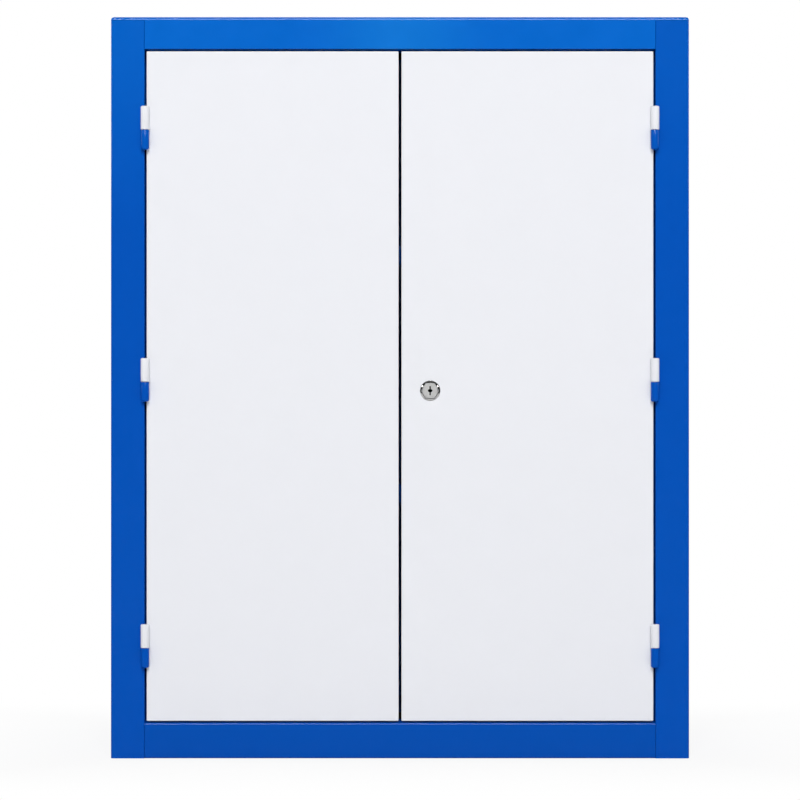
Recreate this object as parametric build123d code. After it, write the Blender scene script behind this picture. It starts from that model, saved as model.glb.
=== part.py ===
"""Two-door steel tool cabinet: a folded sheet carcass with flush doors on weld-on lift-off hinges,
loose shelves on slotted rails, and a key cylinder that drives a cam, two rods and a side tongue.

Millimetres, +Z up, front towards -Y. The origin is at the middle of the base, and half way
between the fronts of the hinges and the back, so it is the bottom centre of the bounding box.
"""

from build123d import *
import math
import os

# Carcass
CABINET_WIDTH = 780.0
CABINET_HEIGHT = 1000.0
CABINET_DEPTH = 380.0  # face of the frame to the back, without the hinges
SHEET = 1.0
EDGE_BEND = 4.0  # outside radius of the bends at the carcass's outer edges
BEND = 1.5  # outside radius of every other bend
RAIL_BEND = 2.5  # outside radius at the top and the foot of the bottom rail
SEAM = 0.2  # left open between panels that meet edge to edge
STILE_WIDTH = 45.5
TOP_RAIL_HEIGHT = 43.5
BOTTOM_RAIL_HEIGHT = 48.0
CAP_LIP = 5.0  # the top panel is turned down this far over the side panels
RECESS_DEPTH = 26.0  # face of the frame to the back of the door stops
STOP_REACH = 12.0  # the stops stand this far into the doorway
STOP_FOOT = 14.0
BASE_FLANGE = 20.0
TOP_FLANGE = 20.0
TOP_FLANGE_LAP = 15.0  # down the inside of the side wall
REAR_FLANGE = 25.0
FLOOR_FLANGE = 15.0

# Holes for fixing the back to a wall
FIXING_HOLE_DIAMETER = 9.0
FIXING_SPACING_WIDE = 600.0
FIXING_FROM_ENDS = 110.0  # from the base, and from the top

# Doors
DOOR_THICKNESS = 20.0
DOOR_SHEET = 1.0
DOOR_GAP_SIDE = 2.75
DOOR_GAP_TOP = 3.0
DOOR_GAP_BOTTOM = 2.4
DOOR_GAP_MIDDLE = 3.7
DOOR_SIDE_LIP = 20.0
STIFFENER_CROWN = 30.0
STIFFENER_FLANGE = 13.0
STIFFENER_DEPTH = 14.0
STIFFENER_END_GAP = 6.0

# Hinges
DOOR_KNUCKLE_DIAMETER = 12.0
FRAME_KNUCKLE_DIAMETER = 11.2
DOOR_KNUCKLE_LENGTH = 31.4
FRAME_KNUCKLE_LENGTH = 26.3
KNUCKLE_STAND_OFF = 0.4  # between the face of the frame and the wider knuckle
KNUCKLE_END_CAP = 4.0
KNUCKLE_TOP_CHAMFER = 1.0
KNUCKLE_FOOT_CHAMFER = 1.8
HINGE_PIN_DIAMETER = 6.0
HINGE_PIN_FIT = 0.05  # radial running clearance in the door's knuckle
HINGE_PIN_DEPTH = 20.0  # in the frame's knuckle
HINGE_WASHER_DIAMETER = 10.4
HINGE_WASHER_THICKNESS = 0.8
HINGE_END_PLAY = 0.05
HINGE_LEAF_THICKNESS = 1.5
HINGE_LEAF_DEPTH = 17.0  # behind the face of the frame
TOP_HINGE_DROP = 106.0  # door's top edge down to the joint between the knuckles
BOTTOM_HINGE_RISE = 99.6  # door's bottom edge up to that joint
MIDDLE_HINGE_RISE = 6.2  # above the middle of the door's height

# Shelf rails, clips and shelves
RAIL_WIDTH = 20.0
RAIL_STAND_OFF = 9.0
FRONT_RAIL_DEPTH = 90.0  # face of the frame to the middle of the front rails
REAR_RAIL_SETBACK = 70.0  # middle of the rear rails to the back
SLOT_PITCH = 25.0
SLOT_MARGIN = 20.0
SLOT_WIDTH = 11.0
SLOT_HEIGHT = 3.4
LOWER_SHELF_RISE = 295.0  # over the floor; the clips take the nearest slot
UPPER_SHELF_RISE = 620.0
CLIP_WIDTH = 16.0
CLIP_THICKNESS = 1.5
CLIP_LEDGE = 13.0
CLIP_DROP = 16.0
CLIP_HOOK_DROP = 5.0
CLIP_FIT = 0.3
SHELF_HEIGHT = 25.0
SHELF_SIDE_GAP = 1.5  # to the rails
SHELF_FRONT_DEPTH = 52.0  # face of the frame to the front of the shelves
SHELF_REAR_GAP = 8.0  # to the back panel
SHELF_LIP = 12.0

# Rubber door buffers
BUFFER_DIAMETER = 8.0
BUFFER_FROM_MIDDLE = 75.0
BUFFER_GAP = 0.3

# Key cylinder
LOCK_BACKSET = 38.75  # from the door's meeting edge
LOCK_DROP = 6.15  # below the middle of the door's height
ROSETTE_DIAMETER = 27.4
ROSETTE_THICKNESS = 1.8
ROSETTE_EDGE = 0.3  # thickness at the rim
ROSETTE_SLOPE = 2.8  # width of the cone between the rim and the flat
LOCK_HEAD_ACROSS_FLATS = 20.6
LOCK_HEAD_THICKNESS = 3.0
LOCK_HEAD_BEVEL = 1.9  # turned off the corners of the hexagon
BARREL_DIAMETER = 19.0
BARREL_FIT = 0.1
PLUG_DIAMETER = 15.0
PLUG_FIT = 0.05
KEYWAY_LENGTH = 12.0
KEYWAY_WIDTH = 1.8
KEYWAY_BULGE_WIDTH = 6.2
KEYWAY_BULGE_HEIGHT = 4.4
KEYWAY_DEPTH = 14.0
LOCK_NUT_ACROSS_FLATS = 24.0
LOCK_NUT_THICKNESS = 5.0

# Cam, rods and their guides
CAM_THICKNESS = 2.0
CAM_GAP = 1.0  # between the door's back and the cam
CAM_HUB_RADIUS = 15.5
CAM_PIN_RADIUS = 12.0
CAM_PIN_DIAMETER = 4.0
CAM_PIN_HEAD_DIAMETER = 6.5
CAM_PIN_HEAD_THICKNESS = 1.2
CAM_SQUARE = 7.0
CAM_SQUARE_FIT = 0.1
TONGUE_WIDTH = 16.0
TONGUE_LENGTH = 54.0
CAM_SCREW_HEAD_DIAMETER = 9.0
CAM_SCREW_HEAD_HEIGHT = 2.6
CAM_SCREW_CHAMFER = 0.5
CAM_SCREW_DIAMETER = 4.0
CAM_SCREW_LENGTH = 6.0
ROD_WIDTH = 12.0
ROD_THICKNESS = 3.0
ROD_BEHIND_STOP = 1.5
ROD_TIP_SETBACK = 6.0  # from the edge of the stop, with the lock open
ROD_TIP_CHAMFER = 3.0
YOKE_WIDTH = 16.0
YOKE_HEIGHT = 12.0
YOKE_SLOT_FIT_HIGH = 0.5
YOKE_SLOT_FIT_LONG = 0.4
GUIDE_HEIGHT = 12.0
GUIDE_SHEET = 1.5
GUIDE_FOOT = 8.0
GUIDE_FIT = 0.3
END_GUIDE_SETBACK = 6.0  # from the edge of the stop
LOCK_GUIDE_MARGIN = 8.0  # beyond the sweep of the tongue
KEEPER_SHEET = 1.5
KEEPER_HEIGHT = 20.0
KEEPER_FOOT = 7.0
KEEPER_CLEARANCE = 1.0  # around the tip of the tongue

# Places worked out from the sizes above
half_width = CABINET_WIDTH / 2
hinge_axis_reach = KNUCKLE_STAND_OFF + DOOR_KNUCKLE_DIAMETER / 2
hinge_front_reach = hinge_axis_reach + DOOR_KNUCKLE_DIAMETER / 2
face_y = hinge_front_reach - (CABINET_DEPTH + hinge_front_reach) / 2
back_y = face_y + CABINET_DEPTH
doorway_x = half_width - STILE_WIDTH
doorway_low_z = BOTTOM_RAIL_HEIGHT
doorway_high_z = CABINET_HEIGHT - TOP_RAIL_HEIGHT
stop_front_y = face_y + RECESS_DEPTH - SHEET
stop_back_y = face_y + RECESS_DEPTH
stop_low_z = doorway_low_z + STOP_REACH
stop_high_z = doorway_high_z - STOP_REACH
back_panel_back_y = back_y - SHEET
back_panel_front_y = back_panel_back_y - SHEET

door_outer_x = doorway_x - DOOR_GAP_SIDE
door_inner_x = DOOR_GAP_MIDDLE / 2
door_low_z = doorway_low_z + DOOR_GAP_BOTTOM
door_high_z = doorway_high_z - DOOR_GAP_TOP
door_middle_z = (door_low_z + door_high_z) / 2
door_back_y = face_y + DOOR_THICKNESS
door_end_lip = stop_low_z - door_low_z + END_GUIDE_SETBACK + GUIDE_HEIGHT + SEAM

hinge_x = doorway_x - DOOR_GAP_SIDE / 2
hinge_y = face_y - hinge_axis_reach
hinge_joint_z = {
    "top": door_high_z - TOP_HINGE_DROP,
    "middle": door_middle_z + MIDDLE_HINGE_RISE,
    "bottom": door_low_z + BOTTOM_HINGE_RISE,
}
SIDES = {"left": -1, "right": 1}

rail_low_z = doorway_low_z
rail_high_z = stop_high_z
rail_face_x = half_width - SHEET - RAIL_STAND_OFF
rail_middle_y = {"front": face_y + FRONT_RAIL_DEPTH, "rear": back_y - REAR_RAIL_SETBACK}
slot_count = int((rail_high_z - rail_low_z - 2 * SLOT_MARGIN) / SLOT_PITCH) + 1
slot_z = [rail_low_z + SLOT_MARGIN + SLOT_PITCH * i for i in range(slot_count)]
shelf_low_z = {
    name: min(slot_z, key=lambda z: abs(z - rail_low_z - rise))
    for name, rise in (("lower", LOWER_SHELF_RISE), ("upper", UPPER_SHELF_RISE))
}
shelf_half_width = rail_face_x - SHELF_SIDE_GAP
shelf_front_y = face_y + SHELF_FRONT_DEPTH
shelf_back_y = back_panel_front_y - SHELF_REAR_GAP

lock_x = door_inner_x + LOCK_BACKSET
lock_z = door_middle_z - LOCK_DROP
lock_head_back_y = face_y - ROSETTE_THICKNESS
lock_head_front_y = lock_head_back_y - LOCK_HEAD_THICKNESS
cam_front_y = door_back_y + CAM_GAP
barrel_back_y = cam_front_y - SEAM
cam_back_y = cam_front_y + CAM_THICKNESS
rod_front_y = stop_back_y + ROD_BEHIND_STOP
rod_back_y = rod_front_y + ROD_THICKNESS
pin_near_x = CAM_PIN_RADIUS / math.sqrt(2)
pin_sway = CAM_PIN_RADIUS - pin_near_x
rod_offset_x = pin_near_x + pin_sway / 2
guide_back_y = rod_back_y + GUIDE_FIT + GUIDE_SHEET


def slab(x_low, x_high, y_low, y_high, z_low, z_high):
    """A plain block between two corners."""
    centre = ((x_low + x_high) / 2, (y_low + y_high) / 2, (z_low + z_high) / 2)
    return Pos(*centre) * Box(x_high - x_low, y_high - y_low, z_high - z_low)


def on_side(side, x_near, x_far, y_low, y_high, z_low, z_high):
    """A block on the left (-1) or right (1) half, between two distances from the middle."""
    x_low, x_high = sorted((side * x_near, side * x_far))
    return slab(x_low, x_high, y_low, y_high, z_low, z_high)


def folded(plane, length, points, radii, sheet=SHEET):
    """Sheet folded along the middle line of its section, extruded from the plane."""
    line = FilletPolyline(*points, radius=[r - sheet / 2 for r in radii])
    return plane * extrude(trace(line, line_width=sheet), length, dir=(0, 0, 1))


def rod_shaped(x, z, y_low, y_high, diameter):
    """A round bar along Y."""
    start = Plane(origin=(x, y_low, z), x_dir=(1, 0, 0), z_dir=(0, 1, 0))
    return extrude(start * Circle(diameter / 2), y_high - y_low)


# Carcass


def side_panel(side):
    """Side wall in one piece with its stile, stop flange, rear flange, and base and top flanges."""
    high_z = CABINET_HEIGHT - CAP_LIP - SEAM
    half = SHEET / 2
    section = [
        (side * (doorway_x - STOP_REACH), stop_back_y - half),
        (side * (doorway_x + half), stop_back_y - half),
        (side * (doorway_x + half), face_y + half),
        (side * (half_width - half), face_y + half),
        (side * (half_width - half), back_y - half),
        (side * (half_width - REAR_FLANGE), back_y - half),
    ]
    panel = folded(Plane.XY, high_z, section, [BEND, BEND, EDGE_BEND, EDGE_BEND])
    cut_x = doorway_x - STOP_REACH - SEAM
    cut_y = stop_front_y - BEND
    low_cut = on_side(side, cut_x, doorway_x, cut_y, stop_back_y, 0, stop_low_z + SEAM)
    high_cut = on_side(side, cut_x, doorway_x, cut_y, stop_back_y, stop_high_z - SEAM, high_z)
    flange_low_y, flange_high_y = stop_back_y + SEAM, back_y - EDGE_BEND
    base_flange = on_side(
        side, half_width - BASE_FLANGE, half_width - half, flange_low_y, back_panel_front_y, 0, SHEET
    )
    lap_x = half_width - SHEET - half
    top_flange = folded(
        Plane.XZ.offset(-flange_high_y), flange_high_y - flange_low_y,
        [
            (side * lap_x, high_z - TOP_FLANGE_LAP),
            (side * lap_x, CABINET_HEIGHT - SHEET - half),
            (side * (half_width - TOP_FLANGE), CABINET_HEIGHT - SHEET - half),
        ],
        [EDGE_BEND - SHEET],
    )
    return panel - low_cut - high_cut + base_flange + top_flange


def top_panel():
    """Cap turned down over the sides, with the top rail, its return and the rear flange."""
    low_z = CABINET_HEIGHT - CAP_LIP
    outer = slab(-half_width, half_width, face_y, back_y, low_z, CABINET_HEIGHT)
    top_edges = outer.edges().group_by(Axis.Z)[-1]
    corner_edges = outer.edges().filter_by(Axis.Z)
    outer = fillet(top_edges + corner_edges, EDGE_BEND)
    inner = slab(
        -half_width + SHEET, half_width - SHEET, face_y + SHEET, back_y - SHEET,
        low_z - SHEET, CABINET_HEIGHT - SHEET,
    )
    inner = fillet(inner.edges().group_by(Axis.Z)[-1] + inner.edges().filter_by(Axis.Z), EDGE_BEND - SHEET)
    rail_x = doorway_x - SEAM
    half = SHEET / 2
    rail = folded(
        Plane.YZ.offset(-rail_x), 2 * rail_x,
        [(face_y + half, low_z), (face_y + half, doorway_high_z + half), (stop_back_y, doorway_high_z + half)],
        [BEND],
    )
    flange_x = half_width - REAR_FLANGE - SEAM
    flange = slab(-flange_x, flange_x, back_y - SHEET, back_y, CABINET_HEIGHT - REAR_FLANGE, low_z)
    return outer - inner + rail + flange


def bottom_panel():
    """Floor in one piece with the bottom rail, whose foot is turned back under the cabinet."""
    rail_x = doorway_x - SEAM
    half = SHEET / 2
    rail = folded(
        Plane.YZ.offset(-rail_x), 2 * rail_x,
        [
            (face_y + BASE_FLANGE, half),
            (face_y + half, half),
            (face_y + half, doorway_low_z - half),
            (stop_back_y + BASE_FLANGE, doorway_low_z - half),
        ],
        [RAIL_BEND, RAIL_BEND],
    )
    floor_x = half_width - SHEET
    floor_front_y = stop_back_y + SEAM
    floor_back_y = back_panel_front_y
    floor = slab(-floor_x, floor_x, floor_front_y, floor_back_y, doorway_low_z - SHEET, doorway_low_z)
    flange_low_z = doorway_low_z - FLOOR_FLANGE
    flanges = [
        on_side(side, floor_x - SHEET, floor_x, floor_front_y, floor_back_y, flange_low_z, doorway_low_z)
        for side in SIDES.values()
    ]
    flanges.append(slab(-floor_x, floor_x, floor_back_y - SHEET, floor_back_y, flange_low_z, doorway_low_z))
    corner_notches = [
        on_side(
            side, half_width - EDGE_BEND, half_width, back_y - EDGE_BEND, back_y,
            flange_low_z, doorway_low_z,
        )
        for side in SIDES.values()
    ]
    return rail + floor + flanges - corner_notches


def back_panel():
    """Flat back behind the flanges of the sides and top, with four holes for fixing to a wall."""
    panel_x = half_width - EDGE_BEND - SEAM
    panel_high_z = CABINET_HEIGHT - EDGE_BEND - SEAM
    panel = slab(-panel_x, panel_x, back_panel_front_y, back_panel_back_y, 0, panel_high_z)
    holes = [
        rod_shaped(x, z, back_panel_front_y - SHEET, back_y, FIXING_HOLE_DIAMETER)
        for x in (-FIXING_SPACING_WIDE / 2, FIXING_SPACING_WIDE / 2)
        for z in (FIXING_FROM_ENDS, CABINET_HEIGHT - FIXING_FROM_ENDS)
    ]
    return panel - holes


def door_stop(base_z, upward):
    """Angle strip across the doorway, on the floor (upward 1) or under the top rail (-1)."""
    half = SHEET / 2
    strip_x = doorway_x - SEAM
    return folded(
        Plane.YZ.offset(-strip_x), 2 * strip_x,
        [
            (stop_back_y - STOP_FOOT, base_z + upward * half),
            (stop_back_y - half, base_z + upward * half),
            (stop_back_y - half, base_z + upward * STOP_REACH),
        ],
        [BEND],
    )


def door_buffers():
    """Rubber pads on the stops, just clear of the backs of the closed doors."""
    return Compound(
        children=[
            rod_shaped(x, z, door_back_y + BUFFER_GAP, stop_front_y, BUFFER_DIAMETER)
            for x in (-BUFFER_FROM_MIDDLE, BUFFER_FROM_MIDDLE)
            for z in (stop_low_z - BUFFER_DIAMETER / 2, stop_high_z + BUFFER_DIAMETER / 2)
        ]
    )


# Shelves


def shelf_rail(side, middle_y):
    """Channel on the side wall with a column of slots for the shelf clips."""
    half = SHEET / 2
    wall_x = half_width - SHEET
    edge_y = RAIL_WIDTH / 2 - half
    channel = folded(
        Plane.XY.offset(rail_low_z), rail_high_z - rail_low_z,
        [
            (side * wall_x, middle_y - edge_y),
            (side * (rail_face_x + half), middle_y - edge_y),
            (side * (rail_face_x + half), middle_y + edge_y),
            (side * wall_x, middle_y + edge_y),
        ],
        [BEND, BEND],
    )
    slots = [
        on_side(
            side, rail_face_x - SHEET, rail_face_x + 2 * SHEET,
            middle_y - SLOT_WIDTH / 2, middle_y + SLOT_WIDTH / 2, z - SLOT_HEIGHT / 2, z + SLOT_HEIGHT / 2,
        )
        for z in slot_z
    ]
    return channel - slots


def shelf_clip(side, middle_y, ledge_z):
    """Bracket hooked through a slot, with a ledge that carries the shelf's edge at ledge_z."""
    low_y, high_y = middle_y - CLIP_WIDTH / 2, middle_y + CLIP_WIDTH / 2
    hook_y = SLOT_WIDTH / 2 - CLIP_FIT
    hook_front_x = rail_face_x + SHEET + CLIP_FIT
    plate_x = rail_face_x - CLIP_THICKNESS
    tongue_high_z = ledge_z + SLOT_HEIGHT / 2 - CLIP_FIT
    ledge = on_side(side, rail_face_x - CLIP_LEDGE, rail_face_x, low_y, high_y, ledge_z - CLIP_THICKNESS, ledge_z)
    plate = on_side(side, plate_x, rail_face_x, low_y, high_y, ledge_z - CLIP_DROP, ledge_z)
    tongue = on_side(
        side, plate_x, hook_front_x + CLIP_THICKNESS, middle_y - hook_y, middle_y + hook_y,
        ledge_z - SLOT_HEIGHT / 2 + CLIP_FIT, min(tongue_high_z, ledge_z),
    )
    hook = on_side(
        side, hook_front_x, hook_front_x + CLIP_THICKNESS, middle_y - hook_y, middle_y + hook_y,
        ledge_z - CLIP_HOOK_DROP, min(tongue_high_z, ledge_z),
    )
    return ledge + plate + tongue + hook


def shelf_clips():
    return Compound(
        children=[
            shelf_clip(side, y, z)
            for z in shelf_low_z.values()
            for side in SIDES.values()
            for y in rail_middle_y.values()
        ]
    )


def shelf(low_z):
    """Tray-shaped shelf with its edges turned down, and the front and rear edges hemmed inwards."""
    high_z = low_z + SHELF_HEIGHT
    outer = slab(-shelf_half_width, shelf_half_width, shelf_front_y, shelf_back_y, low_z, high_z)
    outer = fillet(outer.edges().group_by(Axis.Z)[-1], BEND)
    inner = slab(
        -shelf_half_width + SHEET, shelf_half_width - SHEET, shelf_front_y + SHEET, shelf_back_y - SHEET,
        low_z + SHEET, high_z - SHEET,
    )
    mouth = slab(
        -shelf_half_width + SHEET, shelf_half_width - SHEET,
        shelf_front_y + SHELF_LIP, shelf_back_y - SHELF_LIP, low_z - SHEET, low_z + 2 * SHEET,
    )
    return outer - inner - mouth


# Hinges


def knuckle_leaf(side, x_near, x_far, z_low, z_high):
    """Flat tail that runs back from the knuckle into the gap beside the door."""
    return on_side(side, x_near, x_far, hinge_y, face_y + HINGE_LEAF_DEPTH, z_low, z_high)


def frame_knuckle(side, joint_z):
    """Lower half of a hinge: it is welded to the stile, and the pin is pressed into it."""
    high_z = joint_z - HINGE_END_PLAY - HINGE_WASHER_THICKNESS
    low_z = high_z - FRAME_KNUCKLE_LENGTH
    centre = Pos(side * hinge_x, hinge_y, low_z)
    barrel = centre * Cylinder(
        FRAME_KNUCKLE_DIAMETER / 2, FRAME_KNUCKLE_LENGTH, align=(Align.CENTER, Align.CENTER, Align.MIN)
    )
    barrel = chamfer(barrel.edges().group_by(Axis.Z)[0], KNUCKLE_FOOT_CHAMFER)
    leaf = knuckle_leaf(side, doorway_x - HINGE_LEAF_THICKNESS, doorway_x, low_z + KNUCKLE_FOOT_CHAMFER, high_z)
    bore = Pos(side * hinge_x, hinge_y, high_z - HINGE_PIN_DEPTH) * Cylinder(
        HINGE_PIN_DIAMETER / 2, HINGE_PIN_DEPTH, align=(Align.CENTER, Align.CENTER, Align.MIN)
    )
    return barrel + leaf - bore


def door_knuckle(side, joint_z):
    """Upper half of a hinge: it is welded to the door and drops over the pin."""
    centre = Pos(side * hinge_x, hinge_y, joint_z)
    barrel = centre * Cylinder(
        DOOR_KNUCKLE_DIAMETER / 2, DOOR_KNUCKLE_LENGTH, align=(Align.CENTER, Align.CENTER, Align.MIN)
    )
    barrel = chamfer(barrel.edges().group_by(Axis.Z)[-1], KNUCKLE_TOP_CHAMFER)
    leaf = knuckle_leaf(
        side, door_outer_x, door_outer_x + HINGE_LEAF_THICKNESS,
        joint_z, joint_z + DOOR_KNUCKLE_LENGTH - KNUCKLE_TOP_CHAMFER,
    )
    bore = centre * Cylinder(
        HINGE_PIN_DIAMETER / 2 + HINGE_PIN_FIT, DOOR_KNUCKLE_LENGTH - KNUCKLE_END_CAP,
        align=(Align.CENTER, Align.CENTER, Align.MIN),
    )
    return barrel + leaf - bore


def hinge_pins():
    """Six pins, each standing out of its frame knuckle into the bore of the door knuckle."""
    below = HINGE_PIN_DEPTH + HINGE_WASHER_THICKNESS + HINGE_END_PLAY
    above = DOOR_KNUCKLE_LENGTH - KNUCKLE_END_CAP - 2 * HINGE_END_PLAY
    pin = Cylinder(HINGE_PIN_DIAMETER / 2, below + above, align=(Align.CENTER, Align.CENTER, Align.MIN))
    pin = chamfer(pin.edges().group_by(Axis.Z)[-1], KNUCKLE_TOP_CHAMFER)
    return Compound(
        children=[
            Pos(side * hinge_x, hinge_y, z - below) * pin
            for side in SIDES.values()
            for z in hinge_joint_z.values()
        ]
    )


def hinge_washers():
    """Six washers that the door knuckles turn on."""
    ring = Circle(HINGE_WASHER_DIAMETER / 2) - Circle(HINGE_PIN_DIAMETER / 2 + HINGE_PIN_FIT)
    washer = extrude(ring, HINGE_WASHER_THICKNESS)
    return Compound(
        children=[
            Pos(side * hinge_x, hinge_y, z - HINGE_END_PLAY - HINGE_WASHER_THICKNESS) * washer
            for side in SIDES.values()
            for z in hinge_joint_z.values()
        ]
    )


# Doors


def door_tray(side):
    """Door skin with its four edges folded back and in, as one shallow tray open at the back."""
    outer = on_side(side, door_inner_x, door_outer_x, face_y, door_back_y, door_low_z, door_high_z)
    outer = fillet(outer.edges().group_by(Axis.Y)[0] + outer.edges().filter_by(Axis.Y), BEND)
    inner = on_side(
        side, door_inner_x + DOOR_SHEET, door_outer_x - DOOR_SHEET,
        face_y + DOOR_SHEET, door_back_y - DOOR_SHEET, door_low_z + DOOR_SHEET, door_high_z - DOOR_SHEET,
    )
    inner = fillet(inner.edges().group_by(Axis.Y)[0] + inner.edges().filter_by(Axis.Y), BEND - DOOR_SHEET)
    window = on_side(
        side, door_inner_x + DOOR_SIDE_LIP, door_outer_x - DOOR_SIDE_LIP,
        door_back_y - 2 * DOOR_SHEET, door_back_y + DOOR_SHEET,
        door_low_z + door_end_lip, door_high_z - door_end_lip,
    )
    return outer - inner - window


def door_stiffener(side):
    """Hat section down the middle of the door, on the back of the skin."""
    middle_x = side * (door_inner_x + door_outer_x) / 2
    half = DOOR_SHEET / 2
    crown_x = STIFFENER_CROWN / 2 - half
    flange_x = STIFFENER_CROWN / 2 + STIFFENER_FLANGE
    low_y = face_y + DOOR_SHEET + half
    high_y = face_y + DOOR_SHEET + STIFFENER_DEPTH - half
    low_z = door_low_z + DOOR_SHEET + STIFFENER_END_GAP
    high_z = door_high_z - DOOR_SHEET - STIFFENER_END_GAP
    return folded(
        Plane.XY.offset(low_z), high_z - low_z,
        [
            (middle_x - flange_x, low_y),
            (middle_x - crown_x, low_y),
            (middle_x - crown_x, high_y),
            (middle_x + crown_x, high_y),
            (middle_x + crown_x, low_y),
            (middle_x + flange_x, low_y),
        ],
        [BEND] * 4,
        DOOR_SHEET,
    )


def right_door_panel():
    """The right door's tray, with the round hole for the key cylinder."""
    hole = rod_shaped(lock_x, lock_z, face_y - DOOR_SHEET, face_y + 2 * DOOR_SHEET, BARREL_DIAMETER + 2 * BARREL_FIT)
    return door_tray(SIDES["right"]) - hole


# Lock


def lock_rosette():
    """Cone-shaped ring between the cylinder's head and the door."""
    front_y = face_y - ROSETTE_THICKNESS
    rise = ROSETTE_THICKNESS - ROSETTE_EDGE
    radius = ROSETTE_DIAMETER / 2
    cone = Pos(lock_x, front_y + rise / 2, lock_z) * Rot(90, 0, 0) * Cone(radius, radius - ROSETTE_SLOPE, rise)
    rim = rod_shaped(lock_x, lock_z, face_y - ROSETTE_EDGE, face_y, ROSETTE_DIAMETER)
    return cone + rim - rod_shaped(lock_x, lock_z, front_y, face_y, BARREL_DIAMETER + 2 * BARREL_FIT)


def lock_housing():
    """Barrel of the key cylinder with its bevelled hexagon head, bored for the plug."""
    plane = Plane(origin=(lock_x, lock_head_front_y, lock_z), x_dir=(1, 0, 0), z_dir=(0, 1, 0))
    hexagon = RegularPolygon(LOCK_HEAD_ACROSS_FLATS / 2, 6, major_radius=False)
    across_corners = LOCK_HEAD_ACROSS_FLATS / math.cos(math.pi / 6)
    turned = rod_shaped(lock_x, lock_z, lock_head_front_y, lock_head_back_y, across_corners)
    turned = chamfer(turned.edges().group_by(Axis.Y)[0], LOCK_HEAD_BEVEL)
    head = extrude(plane * hexagon, LOCK_HEAD_THICKNESS) & turned
    barrel = rod_shaped(lock_x, lock_z, lock_head_back_y, barrel_back_y, BARREL_DIAMETER)
    bore = rod_shaped(lock_x, lock_z, lock_head_front_y, barrel_back_y, PLUG_DIAMETER + 2 * PLUG_FIT)
    return head + barrel - bore


def lock_nut():
    """Hexagon nut on the barrel, against the back of the door skin."""
    plane = Plane(origin=(lock_x, face_y + DOOR_SHEET, lock_z), x_dir=(1, 0, 0), z_dir=(0, 1, 0))
    hexagon = RegularPolygon(LOCK_NUT_ACROSS_FLATS / 2, 6, major_radius=False)
    return extrude(plane * (hexagon - Circle(BARREL_DIAMETER / 2)), LOCK_NUT_THICKNESS)


def lock_plug():
    """Plug with an upright keyway, and a square tail for the cam tapped for its screw."""
    plug = rod_shaped(lock_x, lock_z, lock_head_front_y, barrel_back_y, PLUG_DIAMETER)
    half_square = CAM_SQUARE / 2
    tail = slab(
        lock_x - half_square, lock_x + half_square, barrel_back_y, cam_back_y,
        lock_z - half_square, lock_z + half_square,
    )
    plane = Plane(origin=(lock_x, lock_head_front_y, lock_z), x_dir=(1, 0, 0), z_dir=(0, 1, 0))
    keyway = Rectangle(KEYWAY_WIDTH, KEYWAY_LENGTH) + Ellipse(KEYWAY_BULGE_WIDTH / 2, KEYWAY_BULGE_HEIGHT / 2)
    tapped = rod_shaped(lock_x, lock_z, cam_back_y - CAM_SCREW_LENGTH, cam_back_y, CAM_SCREW_DIAMETER)
    return plug + tail - extrude(plane * keyway, KEYWAY_DEPTH) - tapped


def lock_cam():
    """Round hub with the side tongue, which hangs down with the lock open."""
    plane = Plane(origin=(lock_x, cam_front_y, lock_z), x_dir=(1, 0, 0), z_dir=(0, -1, 0))
    tip = TONGUE_LENGTH - TONGUE_WIDTH / 2
    outline = (
        Circle(CAM_HUB_RADIUS)
        + Pos(0, -tip / 2) * Rectangle(TONGUE_WIDTH, tip)
        + Pos(0, -tip) * Circle(TONGUE_WIDTH / 2)
    )
    square = CAM_SQUARE + 2 * CAM_SQUARE_FIT
    pin_holes = [
        Pos(x, y) * Circle(CAM_PIN_DIAMETER / 2) for x, y in ((-pin_near_x, -pin_near_x), (pin_near_x, pin_near_x))
    ]
    return extrude(plane * (outline - Rectangle(square, square) - pin_holes), -CAM_THICKNESS)


def cam_pins():
    """Two headed pins riveted in the cam, which move the rods."""
    head_y = rod_back_y + GUIDE_FIT
    pins = []
    for x, z in ((-pin_near_x, -pin_near_x), (pin_near_x, pin_near_x)):
        shank = rod_shaped(lock_x + x, lock_z + z, cam_front_y, head_y, CAM_PIN_DIAMETER)
        head = rod_shaped(
            lock_x + x, lock_z + z, head_y, head_y + CAM_PIN_HEAD_THICKNESS, CAM_PIN_HEAD_DIAMETER
        )
        pins.append(shank + head)
    return Compound(children=pins)


def cam_screw():
    """Screw that holds the cam on the plug's square tail."""
    head = rod_shaped(lock_x, lock_z, cam_back_y, cam_back_y + CAM_SCREW_HEAD_HEIGHT, CAM_SCREW_HEAD_DIAMETER)
    head = chamfer(head.edges().group_by(Axis.Y)[-1], CAM_SCREW_CHAMFER)
    shank = rod_shaped(lock_x, lock_z, cam_back_y - CAM_SCREW_LENGTH, cam_back_y, CAM_SCREW_DIAMETER)
    return head + shank


# Rods


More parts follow.
